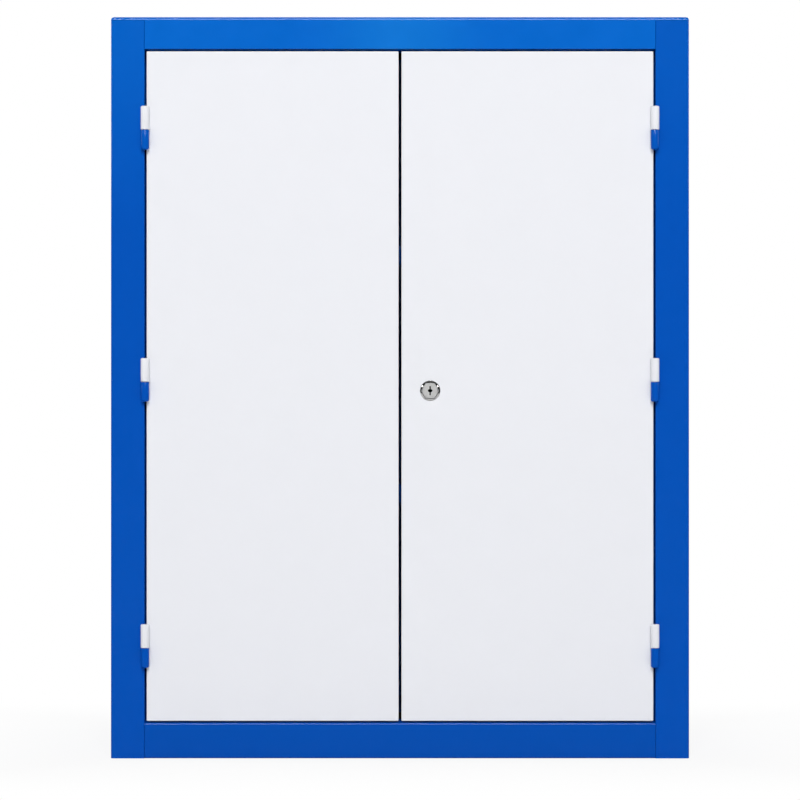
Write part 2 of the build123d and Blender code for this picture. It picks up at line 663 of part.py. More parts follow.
def locking_rod(upward, tip_z):
    """Flat rod from a slotted yoke on its cam pin to a tip beside the stop, up (1) or down (-1)."""
    middle_x = lock_x - upward * rod_offset_x
    yoke_z = lock_z - upward * pin_near_x
    half_width_rod = ROD_WIDTH / 2
    z_low, z_high = sorted((yoke_z, tip_z))
    bar = slab(middle_x - half_width_rod, middle_x + half_width_rod, rod_front_y, rod_back_y, z_low, z_high)
    tip_edges = bar.edges().filter_by(Axis.Y).group_by(Axis.Z)[-1 if upward > 0 else 0]
    bar = chamfer(tip_edges, ROD_TIP_CHAMFER)
    yoke = slab(
        middle_x - YOKE_WIDTH / 2, middle_x + YOKE_WIDTH / 2, rod_front_y, rod_back_y,
        yoke_z - YOKE_HEIGHT / 2, yoke_z + YOKE_HEIGHT / 2,
    )
    slot_x = (CAM_PIN_DIAMETER + pin_sway) / 2 + YOKE_SLOT_FIT_LONG
    slot_z_half = CAM_PIN_DIAMETER / 2 + YOKE_SLOT_FIT_HIGH
    slot = slab(
        middle_x - slot_x, middle_x + slot_x, rod_front_y, rod_back_y, yoke_z - slot_z_half, yoke_z + slot_z_half
    )
    return bar + yoke - slot


def rod_guide(middle_x, base_y, low_z):
    """Strap over a rod with its feet on the skin or the lip of the door, and a bar under the rod."""
    inner_x = ROD_WIDTH / 2 + GUIDE_FIT
    outer_x = inner_x + GUIDE_SHEET
    foot_x = outer_x + GUIDE_FOOT
    half = GUIDE_SHEET / 2
    strap = folded(
        Plane.XY.offset(low_z), GUIDE_HEIGHT,
        [
            (middle_x - foot_x, base_y + half),
            (middle_x - inner_x - half, base_y + half),
            (middle_x - inner_x - half, guide_back_y - half),
            (middle_x + inner_x + half, guide_back_y - half),
            (middle_x + inner_x + half, base_y + half),
            (middle_x + foot_x, base_y + half),
        ],
        [GUIDE_SHEET + SEAM] * 4,
        GUIDE_SHEET,
    )
    bar_high_y = rod_front_y - GUIDE_FIT
    bar = slab(
        middle_x - inner_x - half, middle_x + inner_x + half,
        bar_high_y - GUIDE_SHEET, bar_high_y, low_z, low_z + GUIDE_HEIGHT,
    )
    return strap + bar


def rod_guides():
    """Two straps for each rod: one near the lock on the skin, one near the tip on the lip."""
    near_lock = TONGUE_LENGTH + LOCK_GUIDE_MARGIN
    skin_y = face_y + DOOR_SHEET
    top_x = lock_x - rod_offset_x
    bottom_x = lock_x + rod_offset_x
    return Compound(
        children=[
            rod_guide(top_x, skin_y, lock_z + near_lock),
            rod_guide(top_x, door_back_y, stop_high_z - END_GUIDE_SETBACK - GUIDE_HEIGHT),
            rod_guide(bottom_x, skin_y, lock_z - near_lock - GUIDE_HEIGHT),
            rod_guide(bottom_x, door_back_y, stop_low_z + END_GUIDE_SETBACK),
        ]
    )


def left_door_keeper():
    """Z bracket on the left door's lip; the locked tongue lies between it and the door."""
    half = KEEPER_SHEET / 2
    leg_x = lock_x - TONGUE_LENGTH - KEEPER_CLEARANCE - half
    plate_y = cam_back_y + KEEPER_CLEARANCE + half
    return folded(
        Plane.XY.offset(lock_z - KEEPER_HEIGHT / 2), KEEPER_HEIGHT,
        [
            (leg_x - KEEPER_FOOT, door_back_y + half),
            (leg_x, door_back_y + half),
            (leg_x, plate_y),
            (-door_inner_x - KEEPER_CLEARANCE, plate_y),
        ],
        [KEEPER_SHEET + SEAM] * 2,
        KEEPER_SHEET,
    )


def all_parts():
    """Every sub-part of the cabinet by name."""
    parts = {
        "top_panel": top_panel(),
        "bottom_panel": bottom_panel(),
        "back_panel": back_panel(),
        "top_door_stop": door_stop(doorway_high_z, -1),
        "bottom_door_stop": door_stop(doorway_low_z, 1),
        "door_buffers": door_buffers(),
        "shelf_clips": shelf_clips(),
        "hinge_pins": hinge_pins(),
        "hinge_washers": hinge_washers(),
        "left_door_panel": door_tray(SIDES["left"]),
        "right_door_panel": right_door_panel(),
        "lock_rosette": lock_rosette(),
        "lock_housing": lock_housing(),
        "lock_nut": lock_nut(),
        "lock_plug": lock_plug(),
        "lock_cam": lock_cam(),
        "cam_pins": cam_pins(),
        "cam_screw": cam_screw(),
        "top_rod": locking_rod(1, stop_high_z - ROD_TIP_SETBACK),
        "bottom_rod": locking_rod(-1, stop_low_z + ROD_TIP_SETBACK),
        "rod_guides": rod_guides(),
        "left_door_keeper": left_door_keeper(),
    }
    for name, low_z in shelf_low_z.items():
        parts[f"{name}_shelf"] = shelf(low_z)
    for side_name, side in SIDES.items():
        parts[f"{side_name}_side_panel"] = side_panel(side)
        parts[f"{side_name}_door_stiffener"] = door_stiffener(side)
        for place, middle_y in rail_middle_y.items():
            parts[f"{side_name}_{place}_shelf_rail"] = shelf_rail(side, middle_y)
        for place, joint_z in hinge_joint_z.items():
            parts[f"{side_name}_{place}_frame_knuckle"] = frame_knuckle(side, joint_z)
            parts[f"{side_name}_{place}_door_knuckle"] = door_knuckle(side, joint_z)
    return parts


os.makedirs("parts", exist_ok=True)
for name, part in all_parts().items():
    export_step(part, f"parts/{name}.step")
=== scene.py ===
"""Dresses the solids of a two-door tool cabinet: powder coat, zinc plate, nickel, rubber and foam, with
the spot welds, weld beads and corner seams of its sheet work, in a plain pale studio."""

import math

import bmesh
import bpy
from bpy.props import FloatProperty, FloatVectorProperty, PointerProperty
from mathutils import Matrix, Vector


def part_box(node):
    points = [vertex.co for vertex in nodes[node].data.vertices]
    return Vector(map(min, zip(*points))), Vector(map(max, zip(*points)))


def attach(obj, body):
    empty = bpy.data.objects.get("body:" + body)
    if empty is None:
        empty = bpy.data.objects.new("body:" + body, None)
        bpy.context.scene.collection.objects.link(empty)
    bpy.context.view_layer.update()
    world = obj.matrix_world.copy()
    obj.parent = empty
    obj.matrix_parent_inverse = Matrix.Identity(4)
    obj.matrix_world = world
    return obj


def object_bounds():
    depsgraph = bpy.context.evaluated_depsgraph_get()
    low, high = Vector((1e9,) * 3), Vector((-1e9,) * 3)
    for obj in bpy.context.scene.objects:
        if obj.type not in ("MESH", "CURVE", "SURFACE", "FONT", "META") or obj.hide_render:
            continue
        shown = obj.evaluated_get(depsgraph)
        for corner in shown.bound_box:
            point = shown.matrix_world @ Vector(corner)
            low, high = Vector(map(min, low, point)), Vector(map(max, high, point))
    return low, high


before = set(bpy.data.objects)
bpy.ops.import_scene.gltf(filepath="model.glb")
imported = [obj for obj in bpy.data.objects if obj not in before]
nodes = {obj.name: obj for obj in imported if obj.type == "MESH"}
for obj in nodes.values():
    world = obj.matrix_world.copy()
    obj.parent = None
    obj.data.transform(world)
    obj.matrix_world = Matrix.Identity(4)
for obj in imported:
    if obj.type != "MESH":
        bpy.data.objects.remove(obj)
cad_box = [list(corner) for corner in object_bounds()]

bl_info = {
    "name": "Tool cabinet finishes",
    "version": (1, 0, 0),
    "blender": (4, 5, 0),
    "location": "3D View > Sidebar > Cabinet",
    "description": "Finishes, welds and studio for a two-door tool cabinet",
    "category": "Object",
}

MM = 0.001
SIDES = {"left": -1, "right": 1}
HINGE_PLACES = ("top", "middle", "bottom")
DOOR_STOPS = {"bottom_door_stop": 1, "top_door_stop": -1}  # 1 stands up, -1 hangs down
BACK = Vector((0, 1, 0))
UP = Vector((0, 0, 1))
MERGE_DISTANCE = 0.001 * MM

# Sheet work that the weld marks follow
SHEET = 1.0 * MM
REAR_FLANGE = 25.0 * MM
STOP_FOOT = 14.0 * MM
STIFFENER_FLANGE = 13.0 * MM
DOOR_SIDE_LIP = 20.0 * MM
GUIDE_SHEET = 1.5 * MM
GUIDE_FOOT = 8.0 * MM
KEEPER_FOOT = 7.0 * MM

# How far the rows of spot welds keep from the ends of what they hold
STRIP_SPOTS_IN = 20.0 * MM
REAR_SPOTS_FROM_BASE = 30.0 * MM
REAR_SPOTS_FROM_TOP = 50.0 * MM
TOP_ROW_DROP = 14.0 * MM
TOP_ROW_IN = 40.0 * MM
KEEPER_SPOT_HEIGHTS = (5.0 * MM, 15.0 * MM)

# Beads: the tacks of the shelf rails, the seams at the doors' corners, and those of the hinge leaves
TACK_LENGTH = 12.0 * MM
TACK_PITCH = 260.0 * MM
TACKS_IN = 40.0 * MM
SEAM_START_IN = 2.0 * MM
SEAM_END_IN = 1.0 * MM
SEAM_BEAD_SHARE = 0.5
LEAF_FROM_AXIS = 1.25 * MM
FRAME_LEAF_ENDS = (2.6 * MM, 0.8 * MM)  # in from the foot and from the top of the knuckle
DOOR_LEAF_ENDS = (0.8 * MM, 1.8 * MM)

# Foam pads on the uprights of the door stops, and how deep they sit in the stop's face. Their near-black
# foam also stands in as painted shade down the gap between the doors
PAD_SIZE = Vector((90.0, 4.4, 9.0)) * MM
PAD_SUNK = 0.1 * MM
PAD_EDGE = 0.5 * MM

# Width of one lump, speck, line or patch of each finish
COAT_MOTTLE = 45.0 * MM
COAT_SPECK = 1.1 * MM
ZINC_BLOOM = 12.0 * MM
ZINC_PATCH = 30.0 * MM
ZINC_LINE = 0.6 * MM
NICKEL_LINE = 0.25 * MM
NICKEL_CLOUD = 6.0 * MM
RUBBER_GRAIN = 0.5 * MM
RUBBER_DUST = 4.0 * MM

# Painted light on the blue coat: the carcass is painted lighter towards its top, more so on its left,
# as the glow of the softbox above, and the top rail is painted lighter in its middle as a highlight
PAINTED_GLOW_FROM = 680.0 * MM
PAINTED_GLOW_OVER = 340.0 * MM
PAINTED_GLOW_MIDDLE = 0.72
PAINTED_GLOW_PER_METRE = 0.7
RAIL_HIGHLIGHT_OVER = 140.0 * MM

# The lock: where the keyway is painted dark as the shade inside it, and the line of painted shade round the
# flats of the head, where it stands on the ring
KEYWAY_DARK_FROM = 0.4 * MM
KEYWAY_DARK_OVER = 0.6 * MM
HEAD_SHADE_LINE = 0.3 * MM
HEAD_SHADE_FADE = 0.8 * MM
HEAD_SHADE_DARKNESS = 0.75

# Floor: half the width and depth of the carcass that stands on it, how white it shows right beside
# that, and how far out it is pure white
HALF_WIDTH = 390.0 * MM
HALF_DEPTH = 190.0 * MM
WHITE_BESIDE = 0.88
SHADOW_REACH = 400.0 * MM

# Which finish each solid gets
SHELF_RAILS = [f"{side}_{place}_shelf_rail" for side in SIDES for place in ("front", "rear")]
FRAME_KNUCKLES = [f"{side}_{place}_frame_knuckle" for side in SIDES for place in HINGE_PLACES]
DOOR_KNUCKLES = [f"{side}_{place}_door_knuckle" for side in SIDES for place in HINGE_PLACES]
BLUE_NODES = [
    "left_side_panel", "right_side_panel", "back_panel", "top_door_stop", "bottom_door_stop",
    "lower_shelf", "upper_shelf", *SHELF_RAILS, *FRAME_KNUCKLES,
]
DOOR_NODES = [
    "left_door_panel", "right_door_panel", "left_door_stiffener", "right_door_stiffener",
    "rod_guides", "left_door_keeper", *DOOR_KNUCKLES,
]
ZINC_NODES = [
    "shelf_clips", "hinge_pins", "hinge_washers", "lock_nut",
    "lock_cam", "cam_pins", "cam_screw", "top_rod", "bottom_rod",
]
RUBBER_NODES = ["door_buffers"]


# Settings


class CabinetPaint(bpy.types.PropertyGroup):
    """Colours and surface of the powder coat, with the lighter blues that are painted light."""

    frame_blue: FloatVectorProperty(
        name="Frame", description="Powder coat of the carcass", subtype="COLOR",
        size=3, min=0, max=1, default=(0.0, 0.082, 0.47),
    )
    # painted light: a lighter blue that stands for the softbox's glow on the top of the carcass, not a coat
    # of its own
    high_lit_blue: FloatVectorProperty(
        name="Frame, top", description="Coat of the carcass at its very top", subtype="COLOR",
        size=3, min=0, max=1, default=(0.0, 0.114, 0.54),
    )
    # painted light: a lighter copy of the frame blue for the light that the top rail catches
    lit_rail_blue: FloatVectorProperty(
        name="Top rail", description="Powder coat of the top panel and its rail", subtype="COLOR",
        size=3, min=0, max=1, default=(0.0, 0.128, 0.575),
    )
    # painted highlight: the top rail is painted lighter still in its middle
    rail_highlight_blue: FloatVectorProperty(
        name="Top rail, middle", description="Coat of the rail over the meeting edges", subtype="COLOR",
        size=3, min=0, max=1, default=(0.003, 0.165, 0.615),
    )
    sill_blue: FloatVectorProperty(
        name="Bottom rail", description="Powder coat of the floor and its rail", subtype="COLOR",
        size=3, min=0, max=1, default=(0.0, 0.08, 0.45),
    )
    door_grey: FloatVectorProperty(
        name="Doors", description="Powder coat of the doors", subtype="COLOR",
        size=3, min=0, max=1, default=(0.825, 0.835, 0.875),
    )
    roughness: FloatProperty(
        name="Roughness", description="Roughness of the coat", min=0.05, max=1, default=0.16,
    )
    specular: FloatProperty(
        name="Specular", description="Strength of the coat's reflections", min=0, max=1, default=0.22,
    )
    peel_size: FloatProperty(
        name="Orange peel", description="Width of one ripple of the coat", subtype="DISTANCE",
        unit="LENGTH", min=0.0005, default=0.0032,
    )
    peel_height: FloatProperty(
        name="Peel height", description="Height of the ripples", subtype="DISTANCE",
        unit="LENGTH", min=0, default=0.00002,
    )


class CabinetMetal(bpy.types.PropertyGroup):
    """Colours and roughness of the bare metals and the rubber."""

    zinc: FloatVectorProperty(
        name="Zinc", description="Bright zinc plate", subtype="COLOR",
        size=3, min=0, max=1, default=(0.78, 0.79, 0.81),
    )
    zinc_roughness: FloatProperty(
        name="Zinc roughness", description="Roughness of the plate", min=0.05, max=1, default=0.36,
    )
    nickel: FloatVectorProperty(
        name="Nickel", description="Nickel plate of the lock", subtype="COLOR",
        size=3, min=0, max=1, default=(0.88, 0.875, 0.87),
    )
    satin_roughness: FloatProperty(
        name="Satin", description="Roughness of the lock's head and plug", min=0.05, max=1, default=0.4,
    )
    bright_roughness: FloatProperty(
        name="Bright", description="Roughness of the ring round the lock", min=0.05, max=1, default=0.15,
    )
    rubber: FloatVectorProperty(
        name="Rubber", description="Door buffers", subtype="COLOR",
        size=3, min=0, max=1, default=(0.018, 0.018, 0.019),
    )
    # near black: the pads' foam, and painted shade for the gap between the doors
    foam_and_gap_shade: FloatVectorProperty(
        name="Foam", description="Pads on the door stops", subtype="COLOR",
        size=3, min=0, max=1, default=(0.005, 0.005, 0.0055),
    )


class CabinetWelds(bpy.types.PropertyGroup):
    """Sizes of the spot welds, the weld beads and the softened edges."""

    spot_radius: FloatProperty(
        name="Spot radius", description="Radius of a spot weld's mark", subtype="DISTANCE",
        unit="LENGTH", min=0.001, default=0.0028,
    )
    spot_height: FloatProperty(
        name="Spot height", description="Height of the ring round the mark", subtype="DISTANCE",
        unit="LENGTH", min=0.00002, default=0.00016,
    )
    spot_pitch: FloatProperty(
        name="Spot pitch", description="Distance from spot to spot", subtype="DISTANCE",
        unit="LENGTH", min=0.02, default=0.085,
    )
    bead_radius: FloatProperty(
        name="Bead radius", description="Radius of a weld bead", subtype="DISTANCE",
        unit="LENGTH", min=0.0003, default=0.0009,
    )
    ripple: FloatProperty(
        name="Ripple", description="Length of one ripple of a weld bead", subtype="DISTANCE",
        unit="LENGTH", min=0.0003, default=0.0011,
    )
    edge: FloatProperty(
        name="Soft edge", description="Rounding of the edges of small parts", subtype="DISTANCE",
        unit="LENGTH", min=0, default=0.00022,
    )


class CabinetStage(bpy.types.PropertyGroup):
    """Camera, lamps and surroundings."""

    camera_distance: FloatProperty(
        name="Camera distance", description="From the lens to the face of the frame",
        subtype="DISTANCE", unit="LENGTH", min=0.5, default=4.0447,
    )
    camera_height: FloatProperty(
        name="Camera height", description="Over the floor", subtype="DISTANCE", unit="LENGTH",
        default=0.48326,
    )
    lens: FloatProperty(
        name="Lens", description="Focal length in millimetres", unit="CAMERA", min=10, default=135,
    )
    key_power: FloatProperty(
        name="Softbox", description="Power of the softbox over the camera, in watts", min=0, default=508,
    )
    back_power: FloatProperty(
        name="Rear softbox", description="Power of the softbox behind the cabinet, in watts",
        min=0, default=80,
    )
    fill_power: FloatProperty(
        name="Side softboxes", description="Power of the softbox on each side of the cabinet, in watts",
        min=0, default=70,
    )
    side_power: FloatProperty(
        name="Side lamps", description="Power of each of the two small side lamps, in watts",
        min=0, default=3,
    )
    ambient: FloatProperty(
        name="Ambient", description="Light of the room", min=0, default=0.15,
    )
    front_room: FloatProperty(
        name="Front of the room", description="Brightness that gloss shows of the room behind the camera",
        min=0, default=0.05,
    )
    back_room: FloatProperty(
        name="Back of the room", description="Brightness that gloss shows of the room behind the cabinet",
        min=0, default=0.6,
    )
    card_power: FloatProperty(
        name="Floor card", description="Power of the card before the cabinet that only gloss shows, in watts",
        min=0, default=5,
    )
    ceiling: FloatProperty(
        name="Ceiling", description="Brightness that gloss shows of the ceiling", min=0, default=0.03,
    )


# Shader maths


class Term:
    """An output of a material's node, on which arithmetic adds Math nodes."""

    def __init__(self, finish, socket):
        self.finish = finish
        self.socket = socket

    def math(self, operation, *values):
        return self.finish.node("ShaderNodeMath", {"operation": operation}, enumerate(values))

    def __add__(self, other):
        return self.math("ADD", self, other)

    def __sub__(self, other):
        return self.math("SUBTRACT", self, other)

    def __mul__(self, other):
        return self.math("MULTIPLY", self, other)

    def __radd__(self, other):
        return self.math("ADD", other, self)

    def __rsub__(self, other):
        return self.math("SUBTRACT", other, self)

    def __rmul__(self, other):
        return self.math("MULTIPLY", other, self)

    def above(self, edge, width):
        """0 below the edge, 1 a width above it, with a smooth step between."""
        return self.finish.node(
            "ShaderNodeMapRange", {"interpolation_type": "SMOOTHSTEP"},
            {"Value": self, "From Min": edge, "From Max": edge + width},
        )

    def larger(self, other):
        return self.math("MAXIMUM", self, other)

    def size(self):
        """The value without its sign."""
        return self.math("ABSOLUTE", self)

    def swing(self, amount):
        """Noise from 0 to 1 as a value that swings about 0, by half the amount each way."""
        return (self - 0.5) * amount


class Nodes:
    """A node tree being built, for a material or a world."""

    def __init__(self, owner):
        owner.use_nodes = True
        self.owner = owner
        self.tree = owner.node_tree
        self.tree.nodes.clear()

    def node(self, kind, settings=None, values=(), output=0):
        """A node with its settings, which come first, and the values or links of its sockets."""
        node = self.tree.nodes.new(kind)
        for key, value in (settings or {}).items():
            setattr(node, key, value)
        for key, value in dict(values).items():
            if isinstance(value, Term):
                self.tree.links.new(value.socket, node.inputs[key])
            elif isinstance(value, tuple) and len(value) == 3 and node.inputs[key].type == "RGBA":
                node.inputs[key].default_value = (*value, 1.0)
            else:
                node.inputs[key].default_value = value
        return Term(self, node.outputs[output]) if node.outputs else None

    def place(self):
        """The point in the frame, in metres."""
        return self.node("ShaderNodeTexCoord", output=3)

    def noise(self, vector, size, detail=2.0, roughness=0.5):
        """Soft noise from 0 to 1 whose lumps are about this wide, in metres."""
        return self.node(
            "ShaderNodeTexNoise", {"noise_dimensions": "3D"},
            {"Vector": vector, "Scale": 1 / size, "Detail": detail, "Roughness": roughness},
        )

    def mix(self, factor, first, second):
        """A colour between two colours."""
        return self.node(
            "ShaderNodeMix", {"data_type": "RGBA"}, {0: factor, 6: first, 7: second}, output=2,
        )

    def stretched(self, vector, scale):
        """A place whose pattern is drawn out where a part of the scale is under 1."""
        return self.node("ShaderNodeMapping", None, {"Vector": vector, "Scale": scale})

    def split(self, vector):
        """The three parts of a vector."""
        node = self.node("ShaderNodeSeparateXYZ", None, {"Vector": vector})
        return [Term(self, socket) for socket in node.socket.node.outputs]

    def bump(self, height, distance, under=None):
        """A normal for a height from 0 to 1 that stands for this distance, on top of another bump."""
        values = {"Height": height, "Distance": distance, "Strength": 1.0}
        if under is not None:
            values["Normal"] = under
        return self.node("ShaderNodeBump", None, values)


def finish_from(name, **sockets):
    """A Principled material: the tree's builder and its shader are ready, and sockets are set."""
    tree = Nodes(bpy.data.materials.new(name))
    shader = tree.node("ShaderNodeBsdfPrincipled", None, {
        key.replace("_", " "): value for key, value in sockets.items()
    })
    tree.node("ShaderNodeOutputMaterial", None, {"Surface": shader})
    tree.shader = shader.socket.node
    return tree


def set_sockets(tree, **sockets):
    """Links or sets sockets of the tree's shader."""
    for key, value in sockets.items():
        socket = tree.shader.inputs[key.replace("_", " ")]
        if isinstance(value, Term):
            tree.tree.links.new(value.socket, socket)
        else:
            socket.default_value = value


def shade(colour, factor):
    """A colour made darker or lighter."""
    return tuple(min(1.0, part * factor) for part in colour)


# Finishes


def powder_coat(name, colour, paint, grain=0.02, other=None, where=None):
    """Baked paint with a fine orange peel, a faint mottle and a slightly uneven gloss.

    With another colour, the coat turns to it where the term that the function makes of a point is 1: this
    paints light into the coat.
    """
    tree = finish_from(name, Metallic=0.0, IOR=1.5, Specular_IOR_Level=paint.specular)
    place = tree.place()
    mottle = tree.noise(place, COAT_MOTTLE, detail=3.0)
    speck = tree.noise(place, COAT_SPECK, detail=1.0)
    peel = tree.noise(place, paint.peel_size, detail=2.0, roughness=0.45)
    swell = tree.noise(place, paint.peel_size * 6, detail=1.0)
    tone = mottle.swing(1.2) + speck.swing(0.8) + 0.5
    colour = tuple(colour)
    shown = tree.mix(tone, shade(colour, 1 - grain), shade(colour, 1 + grain))
    if other is not None:
        other = tuple(other)
        there = tree.mix(tone, shade(other, 1 - grain), shade(other, 1 + grain))
        shown = tree.mix(where(*tree.split(place)), shown, there)
    set_sockets(
        tree,
        Base_Color=shown,
        Roughness=paint.roughness + mottle.swing(0.06) + speck.swing(0.05),
        Normal=tree.bump(peel, paint.peel_height, under=tree.bump(swell, paint.peel_height * 3)),
    )
    return tree.owner


def zinc_plate(name, metal):
    """Bright zinc: a bluish and yellowish bloom, rolling lines, and a dull patch here and there."""
    tree = finish_from(name, Metallic=1.0)
    place = tree.place()
    bloom = tree.noise(place, ZINC_BLOOM, detail=3.0)
    patch = tree.noise(place, ZINC_PATCH, detail=2.0)
    lines = tree.noise(tree.stretched(place, (1.0, 1.0, 0.03)), ZINC_LINE, detail=2.0)
    red, green, blue = metal.zinc
    warm = (red * 1.03, green, blue * 0.9)
    cool = (red * 0.94, green * 0.98, blue * 1.04)
    set_sockets(
        tree,
        Base_Color=tree.mix(bloom.above(0.35, 0.3), warm, cool),
        Roughness=metal.zinc_roughness + patch.swing(0.22) + lines.swing(0.1),
        Normal=tree.bump(lines, 0.004 * MM),
    )
    return tree.owner


def nickel_plate(name, metal, roughness, brushing, dark=None):
    """Nickel with fine upright brushing and faint handling marks.

    It is painted dark, as shade, as far as the term that the function makes of a point goes towards 1.
    """
    tree = finish_from(name, Metallic=1.0)
    place = tree.place()
    brush = tree.noise(tree.stretched(place, (1.0, 1.0, 0.04)), NICKEL_LINE, detail=2.0)
    cloud = tree.noise(place, NICKEL_CLOUD, detail=2.0)
    colour = tuple(metal.nickel)
    shown = tree.mix(cloud, shade(colour, 0.95), shade(colour, 1.04))
    if dark is not None:
        # painted shade: near black where the function says
        shown = tree.mix(dark(*tree.split(place)), shown, (0.004, 0.004, 0.004))
    set_sockets(
        tree,
        Base_Color=shown,
        Roughness=roughness + brush.swing(brushing) + cloud.swing(0.06),
        Normal=tree.bump(brush, 0.04 * MM * brushing),
    )
    return tree.owner


def shade_beside_head():
    """The function that makes of a point on the lock's ring how much painted shade it gets right beside the
    flats of the head, where the head stands on the ring.
    """
    low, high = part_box("lock_housing")
    middle = (low + high) / 2
    slope = math.cos(math.pi / 6)
    flat = (high.x - low.x) / 2 * slope

    def head_shade_line(x, y, z):
        across = (x - middle.x).size()
        up = (z - middle.z).size()
        out = up.larger(up * 0.5 + across * slope)
        return HEAD_SHADE_DARKNESS - HEAD_SHADE_DARKNESS * out.above(flat + HEAD_SHADE_LINE, HEAD_SHADE_FADE)

    return head_shade_line


def soft_rubber(name, colour, specular):
    """Matt rubber or foam with a fine grain and a dusting of grey."""
    tree = finish_from(name, Metallic=0.0, Specular_IOR_Level=specular)
    place = tree.place()
    grain = tree.noise(place, RUBBER_GRAIN, detail=2.0)
    dust = tree.noise(place, RUBBER_DUST, detail=3.0)
    colour = tuple(colour)
    set_sockets(
        tree,
        Base_Color=tree.mix(dust.above(0.45, 0.3), colour, shade(colour, 1.8)),
        Roughness=0.72 + grain.swing(0.2),
        Normal=tree.bump(grain, 0.03 * MM),
    )
    return tree.owner


def coat(names, finish):
    """Gives solids a finish."""
    for name in names:
        for slot in nodes[name].material_slots:
            slot.material = finish


def soften(names, width):
    """Rounds the edges of small solids, once their loose triangles are joined."""
    for name in names:
        weld = nodes[name].modifiers.new("join", "WELD")
        weld.merge_threshold = 2 * MERGE_DISTANCE
        bevel = nodes[name].modifiers.new("soft edges", "BEVEL")
        bevel.width = width
        bevel.segments = 2
        bevel.limit_method = "ANGLE"
        bevel.angle_limit = math.radians(38)
        bevel.harden_normals = False


# Small forms


def add_piece(form, name, finish, body):
    """Makes a piece from its form, and rides it on a body."""
    bmesh.ops.remove_doubles(form, verts=form.verts, dist=MERGE_DISTANCE)
    bmesh.ops.recalc_face_normals(form, faces=form.faces)
    for face in form.faces:
        face.smooth = True
    mesh = bpy.data.meshes.new(name)
    form.to_mesh(mesh)
    form.free()
    mesh.materials.append(finish)
    piece = bpy.data.objects.new(name, mesh)
    bpy.context.scene.collection.objects.link(piece)
    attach(piece, body)


def spot_weld(form, centre, normal, radius, height):
    """Round mark of a spot weld: a low ring about a shallow dish, standing on a surface."""
    profile = [
        (radius, -height), (radius * 0.9, height * 0.55), (radius * 0.74, height),
        (radius * 0.55, height * 0.45), (radius * 0.25, height * 0.16), (0.0, height * 0.12),
    ]
    start = [form.verts.new((out, 0, rise)) for out, rise in profile]
    edges = [form.edges.new(pair) for pair in zip(start, start[1:])]
    made = bmesh.ops.spin(
        form, geom=start + edges, cent=(0, 0, 0), axis=UP, angle=math.tau, steps=14, use_merge=True,
    )
    last = [item for item in made["geom_last"] if isinstance(item, bmesh.types.BMVert)]
    ring = connected(start + last)
    turn = UP.rotation_difference(Vector(normal)).to_matrix().to_4x4()
    bmesh.ops.transform(form, matrix=Matrix.Translation(centre) @ turn, verts=ring)


def connected(seeds):
    """Every vertex joined to the seeds by edges, in a steady order."""
    found = dict.fromkeys(vert for vert in seeds if vert.is_valid)
    front = list(found)
    while front:
        vert = front.pop()
        for edge in vert.link_edges:
            other = edge.other_vert(vert)
            if other not in found:
                found[other] = None
                front.append(other)
    return list(found)


def edges_at(verts):
    """Every edge that ends at one of the vertices, once and in a steady order."""
    return list(dict.fromkeys(edge for vert in verts for edge in vert.link_edges))


def weld_bead(form, start, end, radius, ripple):
    """Rippled weld bead from one point to another, tapered at both ends."""
    run = end - start
    steps = max(4, round(run.length / ripple))
    ring = bmesh.ops.create_circle(form, cap_ends=False, radius=radius, segments=8)["verts"]
    turn = UP.rotation_difference(run).to_matrix().to_4x4()
    bmesh.ops.transform(form, matrix=Matrix.Translation(start) @ turn, verts=ring)
    edges = edges_at(ring)
    rings = [ring]
    for _ in range(steps):
        made = bmesh.ops.extrude_edge_only(form, edges=edges)["geom"]
        ring = [item for item in made if isinstance(item, bmesh.types.BMVert)]
        edges = [item for item in made if isinstance(item, bmesh.types.BMEdge)
                 and all(vert in ring for vert in item.verts)]
        bmesh.ops.translate(form, vec=run / steps, verts=ring)
        rings.append(ring)
    for i, ring in enumerate(rings):
        taper = math.sin(math.pi * min(0.5, (min(i, steps - i) + 0.35) / 3.0))
        scale = taper * (1.0 + (0.07 if i % 2 else -0.07))
        middle = Matrix.Translation(start + run * (i / steps))
        shape = middle @ Matrix.Diagonal((scale, scale, scale, 1)) @ middle.inverted()
        bmesh.ops.transform(form, matrix=shape, verts=ring)
    for ring in (rings[0], rings[-1]):
        rim = [edge for edge in edges_at(ring) if all(vert in ring for vert in edge.verts)]
        bmesh.ops.contextual_create(form, geom=rim)


def spread(low, high, pitch):
    """Places from low to high, evenly spread at about the pitch."""
    count = max(1, round((high - low) / pitch))
    return [low + (high - low) * i / count for i in range(count + 1)]


# Pieces


def solid_boxes(name):
    """Lowest and highest corners of each separate solid of a node."""
    form = bmesh.new()
    form.from_mesh(nodes[name].data)
    bmesh.ops.remove_doubles(form, verts=form.verts, dist=MERGE_DISTANCE)
    boxes = []
    boxed = set()
    for vert in form.verts:
        if vert in boxed:
            continue
        island = connected([vert])
        boxed.update(island)
        spans = list(zip(*(corner.co for corner in island)))
        boxes.append((Vector(map(min, spans)), Vector(map(max, spans))))
    form.free()
    return boxes


